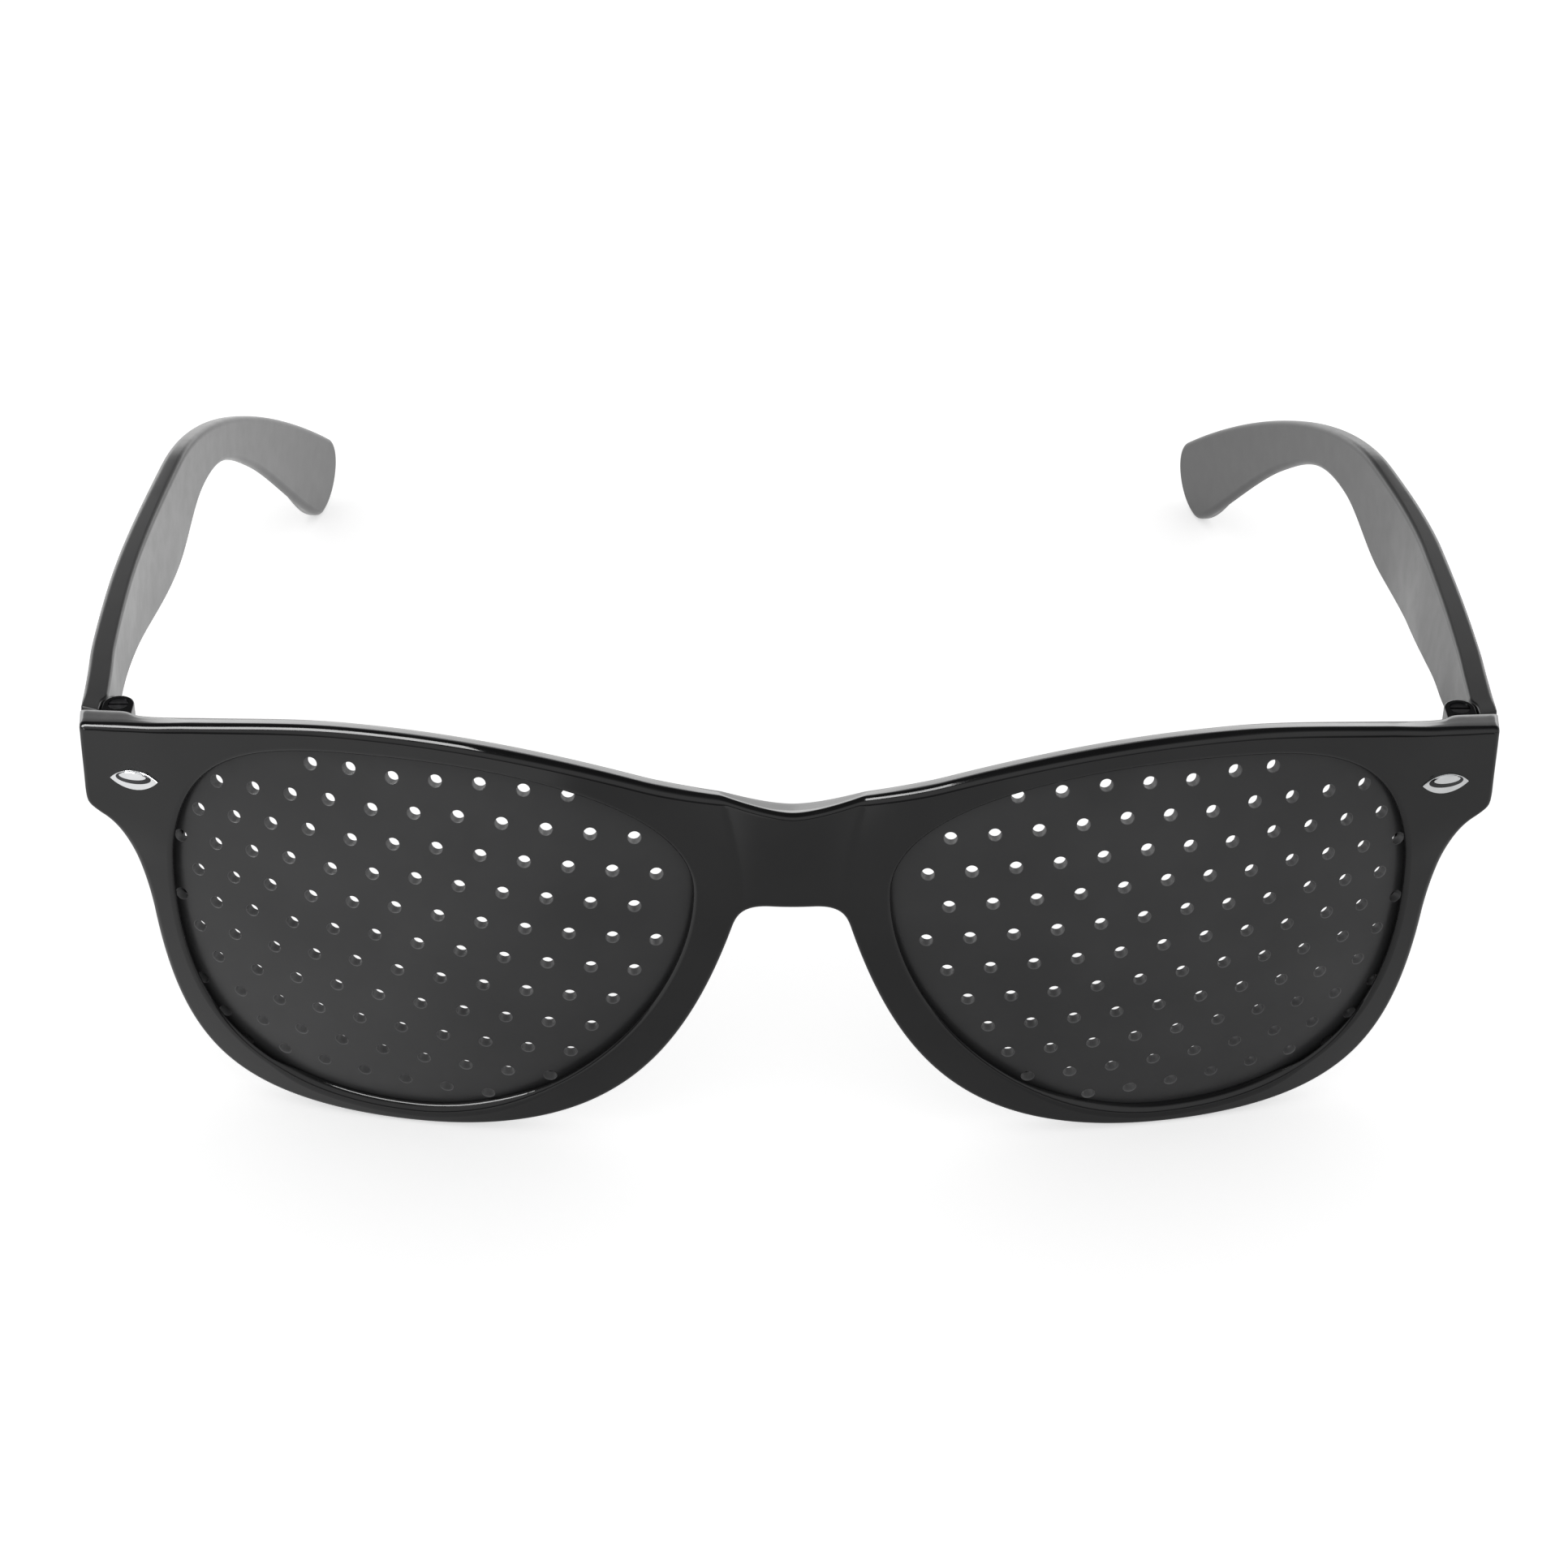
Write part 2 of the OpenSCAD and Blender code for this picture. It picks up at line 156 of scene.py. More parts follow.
def half_outline():
    """Right half of the front, clockwise from the top middle."""
    top, crest = np.array([0, DIP_Z]), np.array([LENS_MID + 1.5, CREST_Z])
    corner = np.array([HALF_W - 0.1, END_TOP])
    foot = np.array([HALF_W - 0.35, END_LOW])
    side, low = np.array([SIDE_X, 1.0]), np.array([LENS_MID + 0.5, LOW_Z])
    nose, under = np.array([LENS_IN - 4, UNDER_Z - 2.6]), np.array([2.2, UNDER_Z])
    above, below = corner + (-1.1, 0.2), corner + (-0.05, -1.1)
    outer, inner = foot + (0.1, 1.6), foot + (-1.5, -0.8)
    brow = np.vstack([
        curve(top, top + (5.2, 0), crest - (22, 0), crest, 80),
        curve(crest, crest + (9, 0), corner + (-12, 2.6), above, 60)])
    # The upper wall slopes down to the back, so its front edge stands higher.
    x = brow[:, 0]
    brow_rise = 0.9 * (1 - smooth_step((x - 45) / 25))
    bridge_rise = 1.4 * (1 - smooth_step(x / 15))
    brow[:, 1] += brow_rise + bridge_rise
    return np.vstack([
        brow,
        curve(above, corner, corner, below, 12),
        curve(below, corner + (-0.05, -3), foot + (0.1, 4), outer, 20),
        curve(outer, foot, foot, inner, 12),
        curve(inner, side + (2.2, 9.3), side + (0.6, 5.5), side, 40),
        curve(side, side - (1.6, 19), low + (19, 0), low, 80),
        curve(low, low - (19, 0), nose + (6.5, -20.7), nose, 80),
        curve(nose, nose + (-0.6, 1.8), under + (2, 0), under, 16),
        [under, (0, UNDER_Z)]])


def front_outline():
    """Whole outline of the front, clockwise from the top middle."""
    h = half_outline()
    return resampled(np.vstack([h[:-1], mirrored(h)[:-1]]), RIM_STEP)


# ------------------------------------------------------------- surfaces
def smooth_step(t):
    t = np.clip(t, 0, 1)
    return t * t * (3 - 2 * t)


def smooth_min(a, b, k):
    """The lower of a and b, blended where they are less than k apart."""
    h = np.clip(0.5 + 0.5 * (b - a) / k, 0, 1)
    return b * (1 - h) + a * h - k * h * (1 - h)


def unit(v):
    return v / np.linalg.norm(v, axis=1)[:, None]


def ball(x, z, r):
    """Depth of a ball of radius r about the centre of the +x half's face."""
    return FACE_R - np.sqrt(np.maximum(r * r - (x - FACE_X) ** 2 - z * z, 1.0))


def end_plane(x, z, depth):
    """Depth of the end piece's flat face, or of a plane that far behind it."""
    nx, nz = math.cos(LEAN) * math.sin(SWEEP), math.sin(LEAN)
    along = nx * (x - END_X) + nz * (z - END_Z) - PROUD + depth
    return END_Y + along / (math.cos(LEAN) * math.cos(SWEEP))


def end_share(x, z):
    """0 on the rims, 1 on the end piece, with a blend between them."""
    return smooth_step((x - 61.0) / 5.0) * smooth_step((z - 6.5) / 6.0)


def face_y(x, z):
    """Depth of the front's face at a place in front view."""
    x = np.abs(x)
    rim = ball(x, z, FACE_R)
    bridge_y, bridge_r, slope = 1.75, 26.0, math.tan(math.radians(4.3))
    nose = (bridge_y + bridge_r - np.sqrt(np.maximum(bridge_r**2 - x * x, 1.0))
            + (z - 12) * slope)
    y = np.where(x < 12, smooth_min(rim, nose, 0.12), rim)
    w = end_share(x, z)
    return y * (1 - w) + end_plane(x, z, 0) * w


def end_thickness(x):
    return FRONT_T + (END_T - FRONT_T) * smooth_step((np.abs(x) - 67.4) / 0.8)


def back_y(x, z):
    """Depth of the front's back, with the nose pads."""
    x = np.abs(x)
    soft = np.sqrt(x * x + 2.4)        # no crease behind the bridge
    y = ball(soft, z, FACE_R - FRONT_T)
    w = end_share(x, z)
    y = y * (1 - w) + end_plane(x, z, end_thickness(x)) * w
    pad_x, pad_y, pad_z, pad_r = 6.8, -5.3, -1.5, 12.0
    reach = np.maximum(pad_r**2 - (x - pad_x) ** 2 - (z - pad_z) ** 2, 0.0)
    return -smooth_min(-y, -(pad_y + np.sqrt(reach)), 0.5)


def face_normal(x, z):
    """Unit vector into the material at a place on the face."""
    e = 0.02
    gx = (face_y(x + e, z) - face_y(x - e, z)) / (2 * e)
    gz = (face_y(x, z + e) - face_y(x, z - e)) / (2 * e)
    return unit(np.stack([-gx, np.ones_like(gx), -gz], 1))


def wall_way(x, z):
    """Direction of the outer wall: square to the ball-shaped face, steeper
    over the bridge, and a little flared on the outer sides of the ends."""
    ax = np.abs(x)
    end, nose = smooth_step((ax - 62) / 7.0), 1 - smooth_step((ax - 2) / 11.0)
    nx = -(ax - FACE_X) / FACE_R * (1 - end) * (1 - nose) + 0.16 * end
    nz = -z / FACE_R * (1 + 0.9 * nose * smooth_step((z - 11) / 3.0) - 0.27 * end)
    return unit(np.stack([nx * np.sign(x), np.ones_like(nx), nz], 1))


def on_face(p):
    return np.stack([p[:, 0], face_y(p[:, 0], p[:, 1]), p[:, 1]], 1)


def to_back(p):
    """Length from face places p along the wall to the back."""
    f, way = on_face(p), wall_way(p[:, 0], p[:, 1])
    t = np.full(len(p), FRONT_T)
    for _ in range(12):
        q = f + way * t[:, None]
        t = t + (back_y(q[:, 0], q[:, 2]) - q[:, 1]) / way[:, 1] * 0.9
    return t


# ----------------------------------------------------------- mesh making
def inside(poly, p):
    """Even-odd test of points p against a closed outline."""
    a, b = poly, np.roll(poly, -1, 0)
    hit = np.zeros(len(p), bool)
    for (x0, y0), (x1, y1) in zip(a, b):
        cross = (y0 > p[:, 1]) != (y1 > p[:, 1])
        if cross.any():
            xs = x0 + (p[cross, 1] - y0) * (x1 - x0) / (y1 - y0)
            hit[cross] ^= p[cross, 0] < xs
    return hit


def far_from(loops, p, d):
    """Points of p that are at least d away from every loop point."""
    pts = np.vstack(loops)
    tree = KDTree(len(pts))
    for i, q in enumerate(pts):
        tree.insert((q[0], q[1], 0), i)
    tree.balance()
    return np.array([tree.find((q[0], q[1], 0))[2] > d for q in p], bool)


def grid(lo, hi, step, skip=None):
    """Staggered grid of points in a rectangle."""
    rows = np.arange(lo[1], hi[1], step * ROW_SHARE)
    out = []
    for k, v in enumerate(rows):
        us = np.arange(lo[0] + (step / 2 if k % 2 else 0), hi[0], step)
        out.append(np.stack([us, np.full(len(us), v)], 1))
    p = np.vstack(out)
    return p if skip is None else p[~skip(p)]


def filled(outer, holes, points):
    """Triangles between an outline and its holes: (extra points, faces).

    Faces number the loop points first, outer then holes, then the extras."""
    loops = [outer] + holes
    keep = inside(outer, points)
    for h in holes:
        keep &= ~inside(h, points)
    points = points[keep]
    spacing = np.median(np.linalg.norm(np.diff(outer, axis=0), axis=1))
    points = points[far_from(loops, points, 0.5 * spacing + 0.08)]
    all_points = np.vstack(loops + [points])
    edges, at = [], 0
    for l in loops:
        n = len(l)
        edges += [(at + i, at + (i + 1) % n) for i in range(n)]
        at += n
    v, _, f, ov, _, _ = delaunay_2d_cdt(
        [Vector(q) for q in all_points], edges, [], 0, 1e-7)
    if len(v) != len(all_points):
        odd = [tuple(round(c, 2) for c in v[i])
               for i in range(len(v)) if len(ov[i]) != 1]
        raise RuntimeError("outline crosses itself near %s" % odd[:6])
    origin = [o[0] for o in ov]
    tri = np.array([[origin[i] for i in t] for t in f])
    mid = all_points[tri].mean(1)
    keep = inside(outer, mid)
    for h in holes:
        keep &= ~inside(h, mid)
    return points, tri[keep]


class Shell:
    """Collects loops and faces of one closed mesh."""

    def __init__(self):
        self.v, self.f, self.n = [], [], 0

    def add(self, pts):
        """Adds points and gives their numbers."""
        pts = np.asarray(pts, float).reshape(-1, 3)
        ids = np.arange(self.n, self.n + len(pts))
        self.v.append(pts)
        self.n += len(pts)
        return ids

    def add_level(self, plan, z):
        """Adds the points of a plan [x, y] at one height."""
        return self.add(np.stack([plan[:, 0], plan[:, 1], np.full(len(plan), z)], 1))

    def band(self, a, b, flip=False):
        """Quads between two loops with the same number of points."""
        a2, b2 = np.roll(a, -1), np.roll(b, -1)
        q = np.stack([a, a2, b2, b], 1)
        self.f += (q[:, ::-1] if flip else q).tolist()

    def bands(self, ids, flip=False):
        """Quads between each loop and the next."""
        for a, b in zip(ids[:-1], ids[1:]):
            self.band(a, b, flip)

    def tris(self, t, flip=False):
        self.f += (t[:, ::-1] if flip else t).tolist()

    def cap(self, ids, flip=False):
        self.f.append(list(ids[::-1] if flip else ids))

    def object(self, name, material, sharp=40.0, second=None, ranges=()):
        """Makes the object; faces in the ranges get the second material."""
        me = bpy.data.meshes.new(name)
        me.from_pydata(place(np.vstack(self.v)).tolist(), [], self.f)
        me.materials.append(material)
        if second:
            me.materials.append(second)
            which = np.zeros(len(self.f), np.int32)
            for a, b in ranges:
                which[a:b] = 1
            me.polygons.foreach_set("material_index", which)
        me.validate()
        me.shade_smooth()
        me.set_sharp_from_angle(angle=math.radians(sharp))
        me.update()
        o = bpy.data.objects.new(name, me)
        bpy.context.scene.collection.objects.link(o)
        even = o.modifiers.new("even_normals", "WEIGHTED_NORMAL")
        even.mode, even.keep_sharp = "FACE_AREA", True
        return o


def quarter(n=8):
    """Angles of a rounding, from the face to the wall."""
    return np.linspace(0, math.pi / 2, n + 1)


def rounding(r, a):
    """Inset and drop of a rounding of radius r at the angle a."""
    return r * (1 - math.sin(a)), r * (1 - math.cos(a))


# ---------------------------------------------------------------- front
def rim_loops(rim):
    """Loops round the outer edge of the front, from the face to the back."""
    out = normals(rim)                 # clockwise travel: left is outwards
    ax, z = np.abs(rim[:, 0]), rim[:, 1]
    # The upper edge is well rounded, the other edges less, the ends least.
    upper = smooth_step((out[:, 1] - 0.3) / 0.4) * smooth_step((z - 9) / 4.0)
    end = smooth_step((ax - 68.8) / 3.0)
    r_front = (0.6 + 0.3 * upper) * (1 - end) + (0.4 + 0.4 * upper) * end
    thick_end = smooth_step((ax - 66.6) / 1.8)
    r_back = (0.6 + 0.4 * upper) * (1 - thick_end) + 0.3 * thick_end
    loops, back = [], []
    for a in quarter():
        inset, drop = rounding(r_front, a)
        p = rim - out * inset[:, None]
        loops.append(on_face(p) + wall_way(p[:, 0], p[:, 1]) * drop[:, None])
    for a in quarter()[::-1]:
        inset, drop = rounding(r_back, a)
        p = rim - out * inset[:, None]
        d = to_back(p) - drop
        back.append(on_face(p) + wall_way(p[:, 0], p[:, 1]) * d[:, None])
    wall = loops[-1]
    loops += [wall * (1 - s) + back[0] * s for s in (0.33, 0.67)]
    return loops + back


def opening_loops(l):
    """Loops round the lens opening l, from the face to the back."""
    grow = normals(l)                  # clockwise travel: left is outwards
    # The lower edge of the opening is rounder.
    r_in = 0.5 + 0.6 * smooth_step((-0.80 - grow[:, 1:2]) / 0.15)
    r_low = 0.4
    lip = LENS_SUNK - LENS_PLAY
    ledge = LENS_SUNK + LENS_T + LENS_PLAY

    def groove(d):
        p = plate_outline(l, 0.05)
        y = ball(np.abs(p[:, 0]), p[:, 1], FACE_R - d)
        return np.stack([p[:, 0], y, p[:, 1]], 1)

    def at(o, d):
        p = l + grow * o
        return on_face(p) + face_normal(p[:, 0], p[:, 1]) * d

    seq = [at(*rounding(r_in, a)) for a in quarter(6)]
    # The rim is undercut down to the plate.
    seq += [at(0.08, r_in + 0.04), groove(lip), groove(ledge), at(0, ledge)]
    for a in quarter(4)[::-1]:
        inset, drop = rounding(r_low, a)
        seq.append(at(inset, FRONT_T - drop))
    # The last loop lies on the back itself.
    last = seq[-1]
    last[:, 1] = back_y(last[:, 0], last[:, 2])
    return seq


def front_mesh(shell):
    """The front without its hinge lugs."""
    loops = rim_loops(front_outline())
    ids = [shell.add(l) for l in loops]
    shell.bands(ids, flip=True)

    inner_ids, inner_loops = [], []
    for l in (lens_outline(), mirrored(lens_outline())):
        seq = opening_loops(l)
        k = [shell.add(q) for q in seq]
        shell.bands(k)
        inner_ids.append((k[0], k[-1]))
        inner_loops.append((seq[0], seq[-1]))

    # Fine points on the bridge, wider ones elsewhere.
    fine = grid((-9.4, -8), (9.4, 26), BRIDGE_GRID)
    wide = grid((-74, -24), (74, 26), RIM_GRID, lambda p: np.abs(p[:, 0]) < 9.8)
    for side, surface in ((0, face_y), (-1, back_y)):
        o = loops[side][:, [0, 2]]
        holes = [q[side][:, [0, 2]] for q in inner_loops]
        extra, tri = filled(o, holes, np.vstack([fine, wide]))
        x, z = extra.T
        e = shell.add(np.stack([x, surface(x, z), z], 1))
        number = np.concatenate([ids[side]] + [q[side] for q in inner_ids] + [e])
        shell.tris(number[tri], flip=(side != 0))


def post(shell, plan, z0, z1, r, bore=None):
    """Upright post with a rounded outline [x, y], rounded at both ends; a
    bore (centre, radius, depth) sinks into its top."""
    n = normals(plan)
    seq = []
    for a in quarter(4):
        inset, drop = rounding(r, a)
        seq.append((plan - n * inset, z0 + drop))
    for a in quarter(4)[::-1]:
        inset, drop = rounding(r, a)
        seq.append((plan - n * inset, z1 - drop))
    if bore:
        seq[-1] = (plan - n * r, z1)
    ids = [shell.add_level(p, z) for p, z in seq]
    shell.bands(ids)
    shell.cap(ids[0])
    if not bore:
        shell.cap(ids[-1], flip=True)
        return
    (cx, cy), br, depth = bore
    t = np.arange(SEAT_SEGMENTS) * -math.tau / SEAT_SEGMENTS
    ring = np.stack([cx + br * np.cos(t), cy + br * np.sin(t)], 1)
    top, low = (shell.add_level(ring, z) for z in (z1, z1 - depth))
    _, tri = filled(seq[-1][0], [ring], np.zeros((0, 2)))
    shell.tris(np.concatenate([ids[-1], top])[tri])
    shell.band(top, low)
    shell.cap(low, flip=True)


def lug_plan(front):
    """Clockwise plan of a hinge lug about the axis: round at one end."""
    t = np.linspace(0, math.pi, 25)
    if front:      # round end towards the temple, straight to the end piece
        arc = np.stack([-np.cos(t), np.sin(t)], 1) * LUG_R
        root = BUTT_Y - AXIS_Y - 2.6
        return np.vstack([[(-LUG_R, root)], arc, [(LUG_R, root)]])
    arc = np.stack([np.cos(t), -np.sin(t)], 1) * LUG_R
    return np.vstack([arc, [(-LUG_R, 0.4), (1.0, 4.8), (2.2, 4.8), (2.2, 0.2)]])


def on_side(s, plan):
    """Plan points about the hinge axis moved to the side that s names."""
    p = plan + (AXIS_X, AXIS_Y)
    return p if s > 0 else mirrored(p)


def front_lugs(shell, s):
    """Upper lug with the seat of the screw, and lower lug."""
    plan = on_side(s, lug_plan(True))
    seat = ((s * AXIS_X, AXIS_Y), *SCREW_SEAT)
    for z, bore in ((LUG_TOP - LUG_H, seat), (LUG_FOOT, None)):
        post(shell, plan, z, z + LUG_H, 0.18, bore)


# ----------------------------------------------------------- lens plates
HOLE_R = 0.675
PLATE_BEVEL, HOLE_BEVEL = 0.05, 0.06
# Row number, then the numbers of its first and last hole
ROWS = ((-2, -2, 4), (-1, -5, 5), (0, -6, 5), (1, -7, 4), (2, -7, 4), (3, -8, 3),
        (4, -8, 2), (5, -8, 1), (6, -9, 0), (7, -9, -1), (8, -9, -3))


def hole_place(i, j):
    """Arc position of a pinhole from the foremost point of the half."""
    k = i + j
    far, near = max(0, -3 - k), max(k, -3)
    jump = 0.5 * (1 if k >= 0 else -1.1 if k < -1 else 0)
    return (12.29 - 4.47 * near + 4.11 * far + 2.29 * j,
            13.07 - 0.55 * near - 3.7 * j + jump)


def hole_axis(u, v):
    """Unit vector from the ball's centre to the arc position (u, v)."""
    turn = math.hypot(u, v) / (FACE_R - LENS_SUNK)
    k = math.sin(turn) / math.hypot(u, v)
    return np.array([u * k, -math.cos(turn), v * k])


def plate_mesh(shell, s):
    """Lens plate with its drilled holes; returns the faces of the hole walls, which get
    painted light.
    """
    l = plate_outline(lens_outline())
    centre = np.array([FACE_X, FACE_R, 0.0])
    # Depth of each layer, and how much its bevel widens the holes
    layers = ((0.0, HOLE_BEVEL), (PLATE_BEVEL, 0.0),
              (LENS_T - PLATE_BEVEL, 0.0), (LENS_T, HOLE_BEVEL))
    rims, rim_ids = [], []
    for depth, wide in layers:
        p = l if wide == 0 else l - normals(l) * PLATE_BEVEL
        y = ball(p[:, 0], p[:, 1], FACE_R - LENS_SUNK - depth)
        rims.append(np.stack([p[:, 0] * s, y, p[:, 1]], 1))
        rim_ids.append(shell.add(rims[-1]))
    shell.bands(rim_ids, flip=(s > 0))
    t = np.arange(HOLE_SEGMENTS) * math.tau / HOLE_SEGMENTS
    holes, hole_ids = ([], []), ([], [])
    walls = []
    for j, first, last in ROWS:
        for i in range(first, last + 1):
            c = hole_axis(*hole_place(i, j))
            e1 = np.cross(c, (0.0, 0.0, 1.0))
            e1 /= np.linalg.norm(e1)
            e2 = np.cross(e1, c)
            rings, ids = [], []
            for depth, wide in layers:
                r = HOLE_R + wide
                out = np.outer(np.cos(t) * r, e1) + np.outer(np.sin(t) * r, e2)
                ball_r = FACE_R - LENS_SUNK - depth
                q = centre + c * math.sqrt(ball_r * ball_r - r * r) + out
                q[:, 0] *= s
                rings.append(q)
                ids.append(shell.add(q))
            for k in (0, 1):
                holes[k].append(rings[-k][:, [0, 2]])
                hole_ids[k].append(ids[-k])
            start = len(shell.f)
            shell.bands(ids, flip=(s < 0))
            walls.append((start, len(shell.f)))
    for k, depth in ((0, 0), (1, LENS_T)):
        o = rims[-k][:, [0, 2]]
        extra, tri = filled(o, holes[k], grid(o.min(0), o.max(0), PLATE_GRID))
        y = ball(np.abs(extra[:, 0]), extra[:, 1], FACE_R - LENS_SUNK - depth)
        e = shell.add(np.stack([extra[:, 0], y, extra[:, 1]], 1))
        number = np.concatenate([rim_ids[-k]] + hole_ids[k] + [e])
        shell.tris(number[tri], flip=bool(k))
    return walls


# ---------------------------------------------------------------- rivets
def rivet_mesh(shell, s):
    """Pointed oval plate with a raised oval boss above its middle line; returns the
    faces of the boss's flank that get painted shade."""
    w, h = RIVET_W, RIVET_H
    r = (w * w + h * h) / (4 * h)

    def oval(inset):
        """Two arcs that meet in points, moved inwards."""
        half = math.acos((r - h / 2) / (r - inset))
        t = np.linspace(-half, half, 41)[:-1]
        top = np.stack([(r - inset) * np.sin(t),
                        (r - inset) * np.cos(t) - r + h / 2], 1)
        return np.vstack([top, -top])

    n = np.array([math.cos(LEAN) * math.sin(SWEEP),
                  -math.cos(LEAN) * math.cos(SWEEP), math.sin(LEAN)])
    across = np.array([math.cos(SWEEP), math.sin(SWEEP), 0.0])
    rise = np.cross(n, across)
    rise *= np.sign(rise[2])
    base = (np.array([END_X, END_Y, END_Z]) + n * PROUD
            + across * (HALF_W - END_X - RIVET_IN) + rise * RIVET_UP)
    cos, sin = math.cos(RIVET_TURN), math.sin(RIVET_TURN)
    across, rise = across * cos - rise * sin, across * sin + rise * cos

    def put(p, height):
        q = (base + np.outer(p[:, 0], across) + np.outer(p[:, 1], rise)
             + np.outer(height * np.ones(len(p)), n))
        q[:, 0] *= s
        return shell.add(q)

    buried, edge, bevel = -0.3, 0.16, 0.08
    plate_top = edge + bevel
    seq = [(oval(0), buried), (oval(0), edge)]
    for a in quarter(4)[::-1][1:]:
        seq.append((oval(bevel * (1 - math.sin(a))), edge + bevel * math.cos(a)))
    ids = [put(p, height) for p, height in seq]
    t = np.arange(BOSS_SEGMENTS) * -math.tau / BOSS_SEGMENTS
    circle = np.stack([np.cos(t), np.sin(t)], 1)
    foot, foot_size = np.array([0.0, 0.25]), (2.1, 0.65)
    head, head_size = np.array([-0.05, 0.52]), (1.6, 0.40)
    boss = [(foot + circle * foot_size, plate_top)]
    for share, height in ((1, 0.44), (0.95, 0.455), (0.5, 0.46)):
        boss.append((head + circle * head_size * share, height))
    boss_ids = [put(p, height) for p, height in boss]
    shell.bands(ids, flip=(s < 0))
    flank = len(shell.f)
    shell.bands(boss_ids, flip=(s < 0))
    points = grid((-3, -1.1), (3, 1.1), RIVET_GRID)
    extra, tri = filled(seq[-1][0], [boss[0][0]], points)
    e = put(extra, plate_top)
    number = np.concatenate([ids[-1], boss_ids[0], e])
    shell.tris(number[tri], flip=(s < 0))
    shell.cap(ids[0], flip=(s > 0))
    shell.cap(boss_ids[-1], flip=(s < 0))
    # Painted shade: the flank is dark but for its upper side.
    return [(flank, flank + 30), (flank + 42, flank + BOSS_SEGMENTS)]


# --------------------------------------------------------------- temples
def temple_outline():
    """Side view of a temple as [y, z], clockwise from its upper front corner."""
    y0, z0, k, low = TEMPLE_Y, TEMPLE_TOP, TIP_Y, -DATUM
    z1 = z0 - TEMPLE_H
    bend, shoulder = np.array([y0 + 62.6, z0 - 4.4]), np.array([k - 1.6, low + 9.3])
    toe, heel = np.array([k - 6.5, low]), np.array([k - 31.5, low + 21])
    arch, belly = np.array([k - 54.7, low + 30.3]), np.array([k - 69.6, low + 28])
    neck = np.array([y0 + 22.6, z1 - 1.6])
    p = np.vstack([
        curve((y0, z0 - 0.3), (y0, z0 - 0.1), (y0 + 0.1, z0), (y0 + 0.3, z0), 8),
        curve((y0 + 0.3, z0), (y0 + 20, z0 - 1.2), bend - (18, -1.4), bend),
        curve(bend, bend + (18, -1.4), shoulder - (17, -13.3), shoulder),
        curve(shoulder, shoulder + (3.4, -3), toe + (5.5, 0), toe),
        curve(toe, toe - (3, 0), heel + (9.6, -7), heel),
        curve(heel, heel + (-8, 5.8), arch + (10, 0), arch),
        curve(arch, arch - (5, 0), belly + (6, 0), belly),
        curve(belly, belly - (10, 0), neck + (12, -2.4), neck),
        curve(neck, neck + (-6, 1.2), (y0 + 7.6, z1), (y0 + 0.7, z1)),
        curve((y0 + 0.7, z1), (y0 + 0.3, z1), (y0, z1 + 0.3), (y0, z1 + 0.7), 8)])
    return resampled(p, TEMPLE_STEP)


